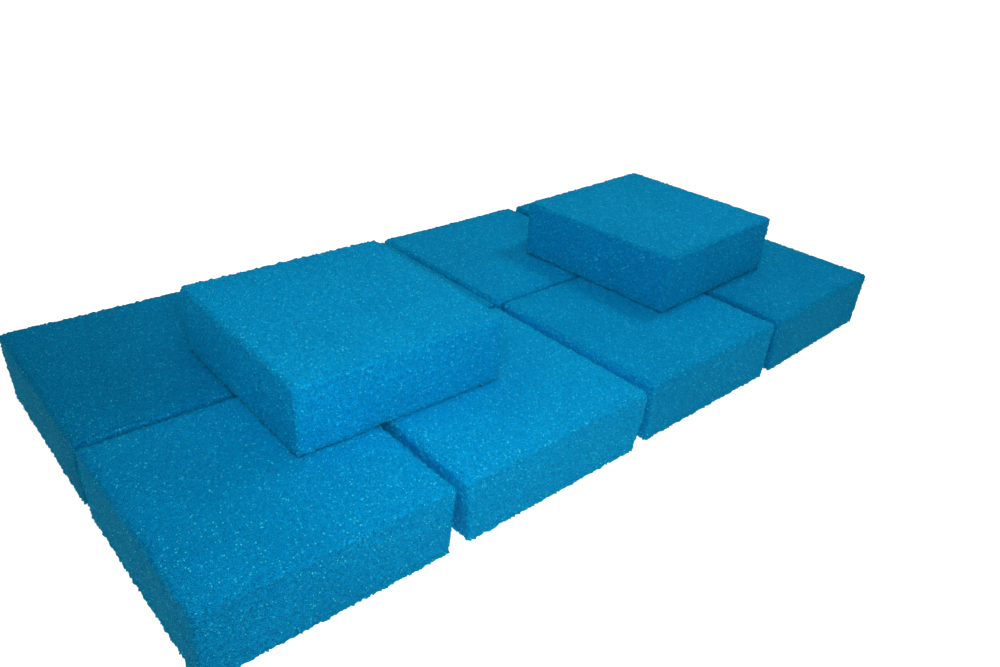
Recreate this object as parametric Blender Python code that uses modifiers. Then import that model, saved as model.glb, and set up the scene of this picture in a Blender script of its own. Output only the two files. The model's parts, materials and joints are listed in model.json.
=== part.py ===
"""Ten square blocks of open-cell filter sponge, laid out as two rows of four with two more on top.

Frame: metres, +Z up. +X runs along the four columns, +Y from the front row to the rear row, and the
origin is on the floor, under the middle of the whole layout.
"""

import math
from typing import NamedTuple

import bpy

COLLECTION_NAME = "sponge_filter_set"

# One sponge
SIDE = 0.150  # square in plan
THICKNESS = 0.048
EDGE_RADIUS = 0.0035
EDGE_SEGMENTS = 3

# The layout on the floor
COLUMN_PITCH = 0.1615  # leaves 11.5 mm between neighbours in a row
ROW_PITCH = 0.158  # leaves 8 mm between the rows
STACK_GAP = 0.0003  # between a sponge and the ones it lies on

# The foam
FOAM_COLOUR = (0.003, 0.216, 0.474, 1.0)
FOAM_ROUGHNESS = 0.9
SHADE_STEP = 0.02  # how much one sponge's colour differs from the next one's
SHADES = 3


class Sponge(NamedTuple):
    """Where a sponge lies: its grid place, then how far the hand that laid it was off that place."""

    name: str
    column: float
    row: float
    level: int
    shift_x: float
    shift_y: float
    turn_deg: float


SPONGES = (
    Sponge("sponge_front_1", 0, 0, 0, -0.005, 0.001, -1.2),
    Sponge("sponge_front_2", 1, 0, 0, -0.004, 0.000, 0.0),
    Sponge("sponge_front_3", 2, 0, 0, 0.000, 0.002, 0.2),
    Sponge("sponge_front_4", 3, 0, 0, -0.001, 0.005, 1.8),
    Sponge("sponge_rear_1", 0, 1, 0, -0.001, 0.005, -1.5),
    Sponge("sponge_rear_2", 1, 1, 0, 0.000, 0.000, 0.0),
    Sponge("sponge_rear_3", 2, 1, 0, -0.003, 0.002, 0.0),
    Sponge("sponge_rear_4", 3, 1, 0, -0.002, 0.002, 0.4),
    Sponge("sponge_top_left", 0.5, 0.5, 1, 0.0105, -0.0075, -1.6),
    Sponge("sponge_top_right", 2.5, 0.5, 1, 0.005, -0.009, 2.5),
)


def clear_scene():
    for obj in list(bpy.data.objects):
        bpy.data.objects.remove(obj, do_unlink=True)


def new_collection(name):
    collection = bpy.data.collections.new(name)
    bpy.context.scene.collection.children.link(collection)
    return collection


def foam_material(name, shade):
    """Matt blue foam, a little lighter or darker than the next sponge."""
    material = bpy.data.materials.new(name)
    material.use_nodes = True
    surface = material.node_tree.nodes["Principled BSDF"]
    lift = 1.0 + SHADE_STEP * shade
    surface.inputs["Base Color"].default_value = (*(lift * part for part in FOAM_COLOUR[:3]), 1.0)
    surface.inputs["Roughness"].default_value = FOAM_ROUGHNESS
    surface.inputs["Metallic"].default_value = 0.0
    return material


def grid_place(sponge):
    """The middle of a sponge on the floor, in the layout's own corner-based measure."""
    return (
        sponge.column * COLUMN_PITCH + sponge.shift_x,
        sponge.row * ROW_PITCH + sponge.shift_y,
    )


def reach(sponge):
    """How far a turned square reaches from its middle, along X and along Y alike."""
    turn = math.radians(abs(sponge.turn_deg))
    corner_loss = EDGE_RADIUS * (math.cos(turn) + math.sin(turn) - 1.0)
    return SIDE / 2 * (math.cos(turn) + math.sin(turn)) - corner_loss


def layout_centre():
    """The middle of the box round all the sponges, in the measure of grid_place."""
    middles = []
    for axis in (0, 1):
        low = min(grid_place(sponge)[axis] - reach(sponge) for sponge in SPONGES)
        high = max(grid_place(sponge)[axis] + reach(sponge) for sponge in SPONGES)
        middles.append((low + high) / 2)
    return middles


def block_mesh(name):
    """A square block standing on its own origin, at its real size, ready for a Bevel."""
    bpy.ops.mesh.primitive_cube_add(size=1.0, location=(0.0, 0.0, 0.0))
    block = bpy.context.active_object
    block.name = name
    block.data.name = name
    for vertex in block.data.vertices:
        vertex.co.x *= SIDE
        vertex.co.y *= SIDE
        vertex.co.z = (vertex.co.z + 0.5) * THICKNESS
    return block


def make_sponge(sponge, shade, centre, collection):
    block = block_mesh(sponge.name)
    for holder in list(block.users_collection):
        holder.objects.unlink(block)
    collection.objects.link(block)

    place_x, place_y = grid_place(sponge)
    level_height = sponge.level * (THICKNESS + STACK_GAP)
    block.location = (place_x - centre[0], place_y - centre[1], level_height)
    block.rotation_euler = (0.0, 0.0, math.radians(sponge.turn_deg))

    bevel = block.modifiers.new("soft_edges", "BEVEL")
    bevel.width = EDGE_RADIUS
    bevel.segments = EDGE_SEGMENTS
    bevel.limit_method = "NONE"

    block.data.materials.append(foam_material(sponge.name + "_foam", shade))
    block.data.shade_smooth()
    block.data.set_sharp_from_angle(angle=math.radians(40))


def main():
    clear_scene()
    collection = new_collection(COLLECTION_NAME)
    centre = layout_centre()
    for index, sponge in enumerate(SPONGES):
        make_sponge(sponge, index % SHADES - 1, centre, collection)


main()
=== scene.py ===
"""Ten loose blocks of blue open-cell filter foam, eight in two rows and two lying on top.

Each block is one closed mesh. Its outline is a softly rounded slab, a little wavy as cut foam is.
Its skin is cut through a field of round cells, so every face is pitted and every edge is ragged.
The pores that are finer than the mesh are in the foam material.
"""

import json
import math

import bpy
import numpy as np
from mathutils import Euler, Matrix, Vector


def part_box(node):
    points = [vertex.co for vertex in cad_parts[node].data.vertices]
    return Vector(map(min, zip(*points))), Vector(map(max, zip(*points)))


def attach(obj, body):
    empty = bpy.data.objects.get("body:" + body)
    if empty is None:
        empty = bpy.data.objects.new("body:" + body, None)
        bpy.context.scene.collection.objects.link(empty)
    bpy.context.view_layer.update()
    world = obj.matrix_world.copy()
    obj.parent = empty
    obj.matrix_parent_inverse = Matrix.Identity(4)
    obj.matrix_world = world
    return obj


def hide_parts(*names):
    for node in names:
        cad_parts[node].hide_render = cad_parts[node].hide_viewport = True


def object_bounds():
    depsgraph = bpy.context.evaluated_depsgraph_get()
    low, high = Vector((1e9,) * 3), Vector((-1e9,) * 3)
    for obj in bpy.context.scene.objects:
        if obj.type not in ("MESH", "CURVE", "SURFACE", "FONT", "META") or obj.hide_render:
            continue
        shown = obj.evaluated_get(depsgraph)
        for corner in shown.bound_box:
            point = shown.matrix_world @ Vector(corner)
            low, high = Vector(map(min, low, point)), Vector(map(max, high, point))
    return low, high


MM = 0.001

# The outline of a block, in metres.
GRID = 1.0 * MM  # spacing of the mesh over a block
JITTER = 0.28  # share of that spacing by which a mesh point strays along the face
PAD = 0.5 * MM  # how far the soft sides stand out from the CAD solid
CORNER_ROUND = 2.0 * MM  # radius of the upright edges
TOP_ROUND = 2.2 * MM  # radius of the edges round the upper face
BOTTOM_ROUND = 0.3 * MM
TAPER = 0.8 * MM  # how far the upper edges stand out and the lower ones stand in
WAVE_COUNT = 10  # slow waves that make up the unevenness of a cut face
WAVE_LENGTHS = (45 * MM, 130 * MM)  # the shortest and the longest
WAVE_HEIGHT = 0.45 * MM

# How far the -X, +X, -Y and +Y sides of each block lean out towards their upper edges, in
# millimetres, chosen so that the seams are narrower at the top than at the floor. Below zero
# a side leans in, which keeps two close blocks from touching.
LEAN = {
    "front_1": (0.0, 0.5, 0.0, 2.5),
    "front_2": (2.0, 4.5, 0.0, 2.5),
    "front_3": (1.0, 1.0, 0.0, 1.5),
    "front_4": (0.5, 0.0, 0.0, -1.3),
    "rear_1": (0.0, 1.0, 1.5, 0.0),
    "rear_2": (0.5, 2.0, 0.0, 0.0),
    "rear_3": (1.0, 1.0, 1.0, 0.0),
    "rear_4": (0.5, 0.0, -1.3, 0.0),
    "top_left": (0.0, 0.0, 0.0, 0.0),
    "top_right": (0.0, 0.0, 0.0, 0.0),
}
LEAN_RISE = 0.65  # share of the block's height over which a side leans out
LEAN_SOFTENING = 0.9  # how much rounder a leaning side's upper edge is, for each millimetre

# How light each block is at its -X and +X ends, beside the others. The levels are partly each block's own
# tone and partly painted light and shade; the rise from -X to +X on front_1, rear_1 and top_left is painted
# shade over their left ends, where the light falls off and top_left casts its shadow.
SHADE = {
    "front_1": (0.80, 1.11),
    "front_2": (1.19, 1.19),
    "front_3": (1.05, 1.05),
    "front_4": (0.89, 0.89),
    "rear_1": (0.64, 0.94),
    "rear_2": (1.00, 1.00),
    "rear_3": (1.07, 1.07),
    "rear_4": (0.98, 0.98),
    "top_left": (1.08, 1.12),
    "top_right": (0.95, 0.95),
}
# Painted light: sides that lean out towards a neighbour are made lighter in colour, for the light that
# passes through the foam into the gap.
PAINTED_SEAM_LIGHT = 0.2  # how much lighter a side is that leans out to its neighbour
SEAM_LEAN = 1.5 * MM  # a side that leans out this far or more has all of it
# Painted shade: the crumbled edges are made darker in colour, to tone down the light that gathers on the
# rounded edges.
PAINTED_EDGE_SHADE = 0.12  # how much darker the crumbled edges are

# The cells that the cut runs through, and what it leaves standing.
CELL_PITCH = 1.6 * MM
CELL_RADII = (0.42, 0.66)  # the smallest and the largest, as shares of the pitch
CELL_MARGIN = 2  # cells laid round the block, so that the skin never runs out of them
PIT_DEPTH = 0.65 * MM
EDGE_PIT_DEPTH = 1.1 * MM  # the cut edges crumble a little deeper
EDGE_REACH = 2.5 * MM  # how far from an edge that fades out
FOOT_CRUMBLE = 0.8  # share of that crumbling which the lowest edges have
TIP_HEIGHT = 0.5 * MM  # strut ends that stand out of the upright faces
EDGE_TIP_HEIGHT = 1.1 * MM  # and out of the edges
TIP_RARITY = 3  # the higher, the fewer strut ends reach their full height
EDGE_TIP_RARITY = 4
FRAY = 0.75 * MM  # how far the mesh points along an edge stray
FRAY_RANGE = (-1, 0.5)  # the share of that which they stray inwards, and outwards

# The foam material: linear colours, and the sizes of what is too fine for the mesh.
STRUT_COLOUR = (0.002, 0.440, 0.850, 1)
# Painted shade: the colour deep in the open pores and pits, darker for their depth.
PORE_SHADE_COLOUR = (0.0005, 0.120, 0.345, 1)
PATCH_COLOUR = (0.001, 0.200, 0.450, 1)
# Painted highlight: the colour of the glints that strut ends would throw back.
PAINTED_GLINT_COLOUR = (0.08, 1.0, 1.0, 1)
PORE_SIZE = 0.95 * MM
GRAIN_SIZE = 0.45 * MM
PATCH_SIZE = 60 * MM
PAINTED_GLINT_CELL = 0.9 * MM  # a few of these cells hold a glint

CAMERA_PLACE = (-0.4165, -0.4359, 0.3482)
CAMERA_TURN_DEG = (61.41, -3.87, -42.17)
CAMERA_LENS = 30.55  # millimetres
CAMERA_SENSOR = 36.0  # millimetres wide

LIGHTS = (
    # name, place, size in metres, energy in watts
    ("near_left", (-0.30, -0.35, 0.35), 0.25, 0.85),
    ("front", (-0.45, -0.75, 0.35), 0.5, 0.8),
    ("right", (0.29, -0.07, 0.46), 0.08, 0.35),
)
AIM = (0, 0, 0.05)  # where every light points
WORLD_STRENGTH = 0.42
FLOOR_GREY = 0.90
FLOOR_GLOW = 0.85
STAGE_RADIUS = 12.0

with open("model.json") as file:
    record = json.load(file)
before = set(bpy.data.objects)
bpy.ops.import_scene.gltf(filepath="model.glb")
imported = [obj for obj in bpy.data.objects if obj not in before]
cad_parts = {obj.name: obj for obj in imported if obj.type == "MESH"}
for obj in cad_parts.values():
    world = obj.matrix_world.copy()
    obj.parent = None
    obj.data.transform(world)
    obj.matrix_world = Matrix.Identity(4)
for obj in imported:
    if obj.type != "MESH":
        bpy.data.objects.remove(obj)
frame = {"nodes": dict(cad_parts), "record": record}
cad_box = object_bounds()


# ---------------------------------------------------------------- camera


def make_camera():
    data = bpy.data.cameras.new("camera")
    data.lens = CAMERA_LENS
    data.sensor_width = CAMERA_SENSOR
    data.clip_start = 0.01
    data.clip_end = 100.0
    camera = bpy.data.objects.new("camera", data)
    bpy.context.scene.collection.objects.link(camera)
    camera.location = CAMERA_PLACE
    camera.rotation_euler = Euler([math.radians(a) for a in CAMERA_TURN_DEG])
    bpy.context.scene.camera = camera


# ---------------------------------------------------------------- outline of a block


def placement(node):
    """The centre of a CAD block, its turn about Z and its half sizes, read from its mesh."""
    low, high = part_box(node)
    centre = np.array((low + high) / 2)
    mesh = frame["nodes"][node].data
    facing_x = [face for face in mesh.polygons if face.normal.x > 0.9]
    widest = max(facing_x, key=lambda face: face.area)
    turn = math.atan2(widest.normal.y, widest.normal.x)
    points = np.array([v.co for v in mesh.vertices]) - centre
    own = points @ turn_matrix(turn)
    return centre, turn, (own.max(0) - own.min(0)) / 2


def turn_matrix(turn):
    """Rows of points times this matrix come out turned by -turn about Z."""
    return np.array(
        [
            [math.cos(turn), -math.sin(turn), 0],
            [math.sin(turn), math.cos(turn), 0],
            [0, 0, 1],
        ]
    )


def box_grid(counts):
    """Integer points on the surface of a box of counts cells, and the quads between them."""
    corners, quads = [], []
    start = 0
    for axis in range(3):
        u, v = (axis + 1) % 3, (axis + 2) % 3
        for side in (0, counts[axis]):
            iu, iv = np.meshgrid(np.arange(counts[u] + 1), np.arange(counts[v] + 1), indexing="ij")
            points = np.zeros((iu.size, 3), int)
            points[:, axis] = side
            points[:, u] = iu.ravel()
            points[:, v] = iv.ravel()
            number = start + np.arange(iu.size).reshape(iu.shape)
            ring = [number[:-1, :-1], number[1:, :-1], number[1:, 1:], number[:-1, 1:]]
            if side == 0:
                ring.reverse()
            corners.append(points)
            quads.append(np.stack([n.ravel() for n in ring], axis=1))
            start += iu.size
    welded, index = np.unique(np.concatenate(corners), axis=0, return_inverse=True)
    return welded, index.reshape(-1)[np.concatenate(quads)]


def plain_block(half, random):
    """Points over a box with sharp edges, the quads between them, and how near an edge each is."""
    counts = np.rint(2 * half / GRID).astype(int)
    lattice, quads = box_grid(counts)
    points = (lattice / counts * 2 - 1) * half
    on_face = (lattice == 0) | (lattice == counts)
    stray = random.uniform(-JITTER, JITTER, points.shape) * GRID
    points = points + np.where(on_face, 0, stray)
    to_edge = np.sort(half - np.abs(points), axis=1)[:, 1]
    return points, quads, np.exp(-to_edge / EDGE_REACH)


def unit(vectors):
    """The vectors made one long; a vector of no length stays."""
    return vectors / np.maximum(np.linalg.norm(vectors, axis=1, keepdims=True), 1e-12)


def round_corners(plan, half):
    """Plan points of a rectangle moved onto the same one with round corners.

    Also gives how far in from the outline each lies, and which way is out.
    """
    core = half - CORNER_ROUND
    beyond = np.maximum(np.abs(plan) - core, 0)
    in_corner = (beyond > 0).all(axis=1, keepdims=True)
    disc = unit(beyond) * beyond.max(axis=1, keepdims=True)
    moved = np.where(in_corner, core + disc, np.abs(plan))
    to_side = half - np.abs(plan)
    from_arc = CORNER_ROUND - np.linalg.norm(disc, axis=1)
    inset = np.where(in_corner[:, 0], from_arc, to_side.min(axis=1))
    nearest_side = np.eye(2)[to_side.argmin(axis=1)]
    out = np.where(in_corner, unit(disc), nearest_side)
    return moved * np.sign(plan), inset, out * np.sign(plan)


def side_distances(points, half):
    """How far in from the -X, +X, -Y and +Y sides each point lies."""
    x, y = points[:, 0], points[:, 1]
    return np.column_stack([half[0] + x, half[0] - x, half[1] + y, half[1] - y])


def nearby_lean(points, half, lean):
    """How far the side nearest to each point leans out, blended round the corners."""
    nearness = np.exp(-side_distances(points, half) / CORNER_ROUND)
    return nearness @ np.maximum(lean, 0) / np.maximum(nearness.sum(axis=1), 1)


def rounded(points, half, lean):
    """Points on a box moved onto the same box with rounded edges, with the outward normals there."""
    plan, inset, out = round_corners(points[:, :2], half[:2])
    lean_there = nearby_lean(points, half, lean)
    up = np.sign(points[:, 2])
    drop = half[2] - np.abs(points[:, 2])
    radius = np.where(up > 0, TOP_ROUND + LEAN_SOFTENING * lean_there, BOTTOM_ROUND)
    arc = unit(np.maximum(radius[:, None] - np.column_stack([inset, drop]), 0))
    new_inset = np.where(inset < radius, radius * (1 - arc[:, 0]), inset)
    new_drop = np.where(drop < radius, radius * (1 - arc[:, 1]), drop)
    plan = plan - out * (new_inset - inset)[:, None]
    moved = np.column_stack([plan, up * (half[2] - new_drop)])
    return moved, np.column_stack([out * arc[:, :1], up * arc[:, 1]])


def leant(points, half, lean):
    """The points with each side leaning out by its own amount, from nothing at the floor."""
    height = np.clip((points[:, 2] / half[2] + 1) / (2 * LEAN_RISE), 0, 1)
    rise = height * height * (3 - 2 * height)
    share = 1 - side_distances(points, half) / (2 * half[[0, 0, 1, 1]])
    shift = share * lean * rise[:, None]
    return points + np.column_stack([shift[:, 1::2] - shift[:, 0::2], np.zeros(len(points))])


# ---------------------------------------------------------------- skin of a block


def slow_waves(points, random):
    """A smooth unevenness over the block, from -1 to 1 or so."""
    total = np.zeros(len(points))
    for _ in range(WAVE_COUNT):
        direction = random.normal(size=3)
        direction /= np.linalg.norm(direction)
        length = random.uniform(*WAVE_LENGTHS)
        phase = random.uniform(0, 2 * math.pi)
        total += np.sin(points @ direction * (2 * math.pi / length) + phase)
    return total / math.sqrt(WAVE_COUNT)


def cell_depths(points, inward, half, random):
    """How far the open cell at each point goes in from the surface, and 0 on the struts between."""
    size = np.ceil(2 * half / CELL_PITCH).astype(int) + 2 * CELL_MARGIN
    shift = random.random((*size, 3))
    radii = random.uniform(*CELL_RADII, size) * CELL_PITCH
    place = (points + half) / CELL_PITCH + CELL_MARGIN
    home = np.floor(place).astype(int)
    depth = np.zeros(len(points))
    for step in np.ndindex(3, 3, 3):
        cell = home + np.array(step) - 1
        key = tuple(cell.T)
        to_centre = (cell + shift[key] - place) * CELL_PITCH
        gap = (to_centre**2).sum(1) - radii[key] ** 2
        along = (to_centre * inward).sum(1)
        inside = gap < 0
        reach = along + np.sqrt(np.maximum(along**2 - gap, 0))
        depth = np.maximum(depth, np.where(inside, reach, 0))
    return depth


def cut_skin(points, outward, crumble, half, random):
    """The points moved in where the cut opens a cell and out where it leaves a strut end.

    Also gives how deep each point sank.
    """
    upright = 1 - np.abs(outward[:, 2])
    pit = PIT_DEPTH + (EDGE_PIT_DEPTH - PIT_DEPTH) * crumble
    depth = cell_depths(points, -outward, half, random)
    sunk = pit * (1 - np.exp(-depth / pit))
    tips = TIP_HEIGHT * upright * random.random(len(points)) ** TIP_RARITY
    tips += EDGE_TIP_HEIGHT * crumble * random.random(len(points)) ** EDGE_TIP_RARITY
    fray = FRAY * crumble * random.uniform(*FRAY_RANGE, len(points))
    wave = WAVE_HEIGHT * upright * slow_waves(points, random)
    taper = TAPER * points[:, 2] / half[2] * upright
    out = np.where(depth > 0, 0, tips) + fray - sunk + wave + taper
    moved = points + outward * out[:, None]
    moved[:, 2] = np.clip(moved[:, 2], -half[2], half[2])
    return moved, sunk


def skin_shade(points, outward, crumble, half, body):
    """How light the foam is at each point, beside the material's own colour: each block's tone, with painted
    shade towards the left of some blocks and along the crumbled edges, and painted light on sides that lean
    out towards a neighbour.
    """
    lean_there = nearby_lean(points, half, np.array(LEAN[body]) * MM)
    seam_light = (1 - np.abs(outward[:, 2])) * np.minimum(lean_there / SEAM_LEAN, 1)
    shade = np.interp(points[:, 0], [-half[0], half[0]], SHADE[body])
    return shade * ((1 - PAINTED_EDGE_SHADE * crumble) * (1 + PAINTED_SEAM_LIGHT * seam_light))


def foam_block(name, node, body, seed):
    """A block of foam in the place of a CAD block, as a piece that rides on its body."""
    random = np.random.default_rng(seed)
    centre, turn, half = placement(node)
    half = half + np.array([PAD, PAD, 0])
    lean = np.array(LEAN[body]) * MM
    points, quads, edge = plain_block(half, random)
    points, outward = rounded(points, half, lean)
    above_foot = (points[:, 2] + half[2]) / EDGE_REACH - 0.5
    crumble = edge * np.clip(above_foot, FOOT_CRUMBLE, 1)
    points, sunk = cut_skin(points, outward, crumble, half, random)
    shade = skin_shade(points, outward, crumble, half, body)
    points = leant(points, half, lean) @ turn_matrix(turn).T + centre

    mesh = bpy.data.meshes.new(name)
    mesh.from_pydata(points.tolist(), [], quads.tolist())
    mesh.shade_smooth()
    # The material draws the pit values darker, as painted shade; the shade values hold each block's tone
    # with painted light and shade.
    for label, value in (("pit", sunk / EDGE_PIT_DEPTH), ("shade", shade)):
        attribute = mesh.attributes.new(label, "FLOAT", "POINT")
        attribute.data.foreach_set("value", value.astype(np.float32))
    piece = bpy.data.objects.new(name, mesh)
    bpy.context.scene.collection.objects.link(piece)
    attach(piece, body)
    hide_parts(node)
    return piece


# ---------------------------------------------------------------- materials


class Nodes:
    """Adds nodes to a material, and joins them by plain values or by other nodes' outputs."""

    def __init__(self, name):
        self.material = bpy.data.materials.new(name)
        self.material.use_nodes = True
        self.tree = self.material.node_tree
        self.tree.nodes.clear()

    def add(self, kind, inputs=(), **settings):
        node = self.tree.nodes.new("ShaderNode" + kind)
        for key, value in settings.items():
            setattr(node, key, value)
        for key, value in dict(inputs).items():
            if isinstance(value, bpy.types.NodeSocket):
                self.tree.links.new(value, node.inputs[key])
            else:
                node.inputs[key].default_value = value
        return node

    def attribute(self, name):
        return self.add("Attribute", attribute_name=name).outputs["Fac"]

    def math(self, operation, *values):
        node = self.add("Math", dict(enumerate(values)), operation=operation)
        return node.outputs[0]

    def ramp(self, value, low, high, to_low=0.0, to_high=1.0):
        inputs = {0: value, 1: low, 2: high, 3: to_low, 4: to_high}
        return self.add("MapRange", inputs, interpolation_type="SMOOTHSTEP").outputs[0]

    def noise(self, where, size, detail, roughness):
        inputs = {"Vector": where, "Scale": 1 / size, "Detail": detail, "Roughness": roughness}
        return self.add("TexNoise", inputs).outputs["Fac"]

    def cells(self, where, size, feature):
        return self.add("TexVoronoi", {"Vector": where, "Scale": 1 / size}, feature=feature)

    def mix(self, factor, a, b):
        return self.add("Mix", {"Factor": factor, 6: a, 7: b}, data_type="RGBA").outputs[2]

    def surface(self, **inputs):
        """Ends the material in a Principled shader, whose sockets are named with _ for a space."""
        named = {key.replace("_", " "): value for key, value in inputs.items()}
        shader = self.add("BsdfPrincipled", named)
        self.add("OutputMaterial", {"Surface": shader.outputs[0]})
        return self.material


def painted_glints(nodes, where):
    """Few small spots of painted highlight, 1 on the strut ends that would catch the light and 0 elsewhere.
    """
    glint_cell = nodes.cells(where, PAINTED_GLINT_CELL, "F1")
    lucky = nodes.add("SeparateColor", {0: glint_cell.outputs["Color"]}).outputs[0]
    near = nodes.ramp(glint_cell.outputs["Distance"], 0.33, 0.47, 1.0, 0.0)
    return nodes.math("MULTIPLY", nodes.ramp(lucky, 0.92, 0.97), near)


def foam_material():
    """Bright struts round pores darkened as painted shade, in slow patches of two blues, with a few painted
    highlights where strut ends glint.
    """
    nodes = Nodes("blue_foam")
    where = nodes.add("TexCoord").outputs["Object"]

    edges = nodes.cells(where, PORE_SIZE, "DISTANCE_TO_EDGE").outputs["Distance"]
    open_pore = nodes.ramp(edges, 0.03, 0.22)
    grain = nodes.noise(where, GRAIN_SIZE, 1.0, 0.6)
    # Painted shade: the pits of the mesh and the finer open pores are darkened for their depth; the grain
    # added after is the foam's own.
    finer_pore_shade = nodes.math("MULTIPLY", open_pore, 0.75)
    hollow_shade = nodes.math("MULTIPLY_ADD", nodes.attribute("pit"), 0.25, finer_pore_shade)
    shade_and_grain = nodes.math("ADD", hollow_shade, nodes.ramp(grain, 0.3, 0.7, -0.32, 0.32))

    colour = nodes.mix(nodes.ramp(shade_and_grain, 0.0, 1.0), STRUT_COLOUR, PORE_SHADE_COLOUR)
    patches = nodes.noise(where, PATCH_SIZE, 3.0, 0.5)
    colour = nodes.mix(nodes.ramp(patches, 0.3, 0.7, 0.0, 0.25), colour, PATCH_COLOUR)
    # Painted highlight: the glints are mixed into the colour.
    colour = nodes.mix(painted_glints(nodes, where), colour, PAINTED_GLINT_COLOUR)
    # The shade attribute scales the colour: each block's tone with painted light and shade.
    inputs = {0: colour, 1: nodes.attribute("shade")}
    colour = nodes.add("VectorMath", inputs, operation="MULTIPLY").outputs[0]

    height = nodes.math("SUBTRACT", nodes.math("MULTIPLY", grain, 0.4), open_pore)
    bump = nodes.add("Bump", {"Strength": 0.6, "Distance": 0.3 * MM, "Height": height})
    return nodes.surface(
        Base_Color=colour,
        Roughness=nodes.ramp(shade_and_grain, 0.0, 1.0, 0.62, 0.95),
        Specular_IOR_Level=0.015,
        Normal=bump.outputs[0],
        Subsurface_Weight=0.5,
        Subsurface_Radius=(0.1, 0.9, 1.0),
        Subsurface_Scale=8 * MM,
    )


def stage_material(name, grey, glow):
    return Nodes(name).surface(
        Base_Color=(grey, grey, grey, 1),
        Roughness=0.9,
        Specular_IOR_Level=0.1,
        Emission_Color=(1, 1, 1, 1),
        Emission_Strength=glow,
    )


# ---------------------------------------------------------------- studio


def make_lights():
    for name, place, size, energy in LIGHTS:
        data = bpy.data.lights.new(name, "AREA")
        data.shape = "DISK"
        data.size = size
        data.energy = energy
        light = bpy.data.objects.new(name, data)
        bpy.context.scene.collection.objects.link(light)
        light.location = place
        light.visible_camera = False
        light.rotation_euler = (Vector(AIM) - light.location).to_track_quat("-Z", "Y").to_euler()


def make_world():
    world = bpy.data.worlds.new("studio")
    world.use_nodes = True
    background = world.node_tree.nodes["Background"]
    background.inputs["Color"].default_value = (1, 1, 1, 1)
    background.inputs["Strength"].default_value = WORLD_STRENGTH
    bpy.context.scene.world = world


def make_floor():
    """A floor that glows, so that it comes out white. Diffuse rays miss it, so it hardly lights the foam."""
    bpy.ops.mesh.primitive_circle_add(vertices=96, radius=STAGE_RADIUS, fill_type="NGON")
    floor = bpy.context.object
    floor.name = "studio_floor"
    floor.location.z = cad_box[0].z
    floor.data.materials.append(stage_material("studio_floor", FLOOR_GREY, FLOOR_GLOW))
    floor.visible_diffuse = False


def make_backdrop():
    """A white dome that only the camera sees, so that the floor has no horizon."""
    bpy.ops.mesh.primitive_uv_sphere_add(segments=96, ring_count=48, radius=STAGE_RADIUS)
    dome = bpy.context.object
    dome.name = "studio_backdrop"
    dome.data.materials.append(stage_material("studio_backdrop", 0.0, 1.0))
    dome.visible_diffuse = False
    dome.visible_glossy = False
    dome.visible_transmission = False
    dome.visible_shadow = False


make_camera()
make_world()
make_lights()
make_floor()
make_backdrop()
foam = foam_material()
for seed, (body, members) in enumerate(frame["record"]["behaviour"]["bodies"].items()):
    block = foam_block("foam_" + body, members[0], body, seed)
    block.data.materials.append(foam)

bpy.context.scene.view_settings.view_transform = "Standard"
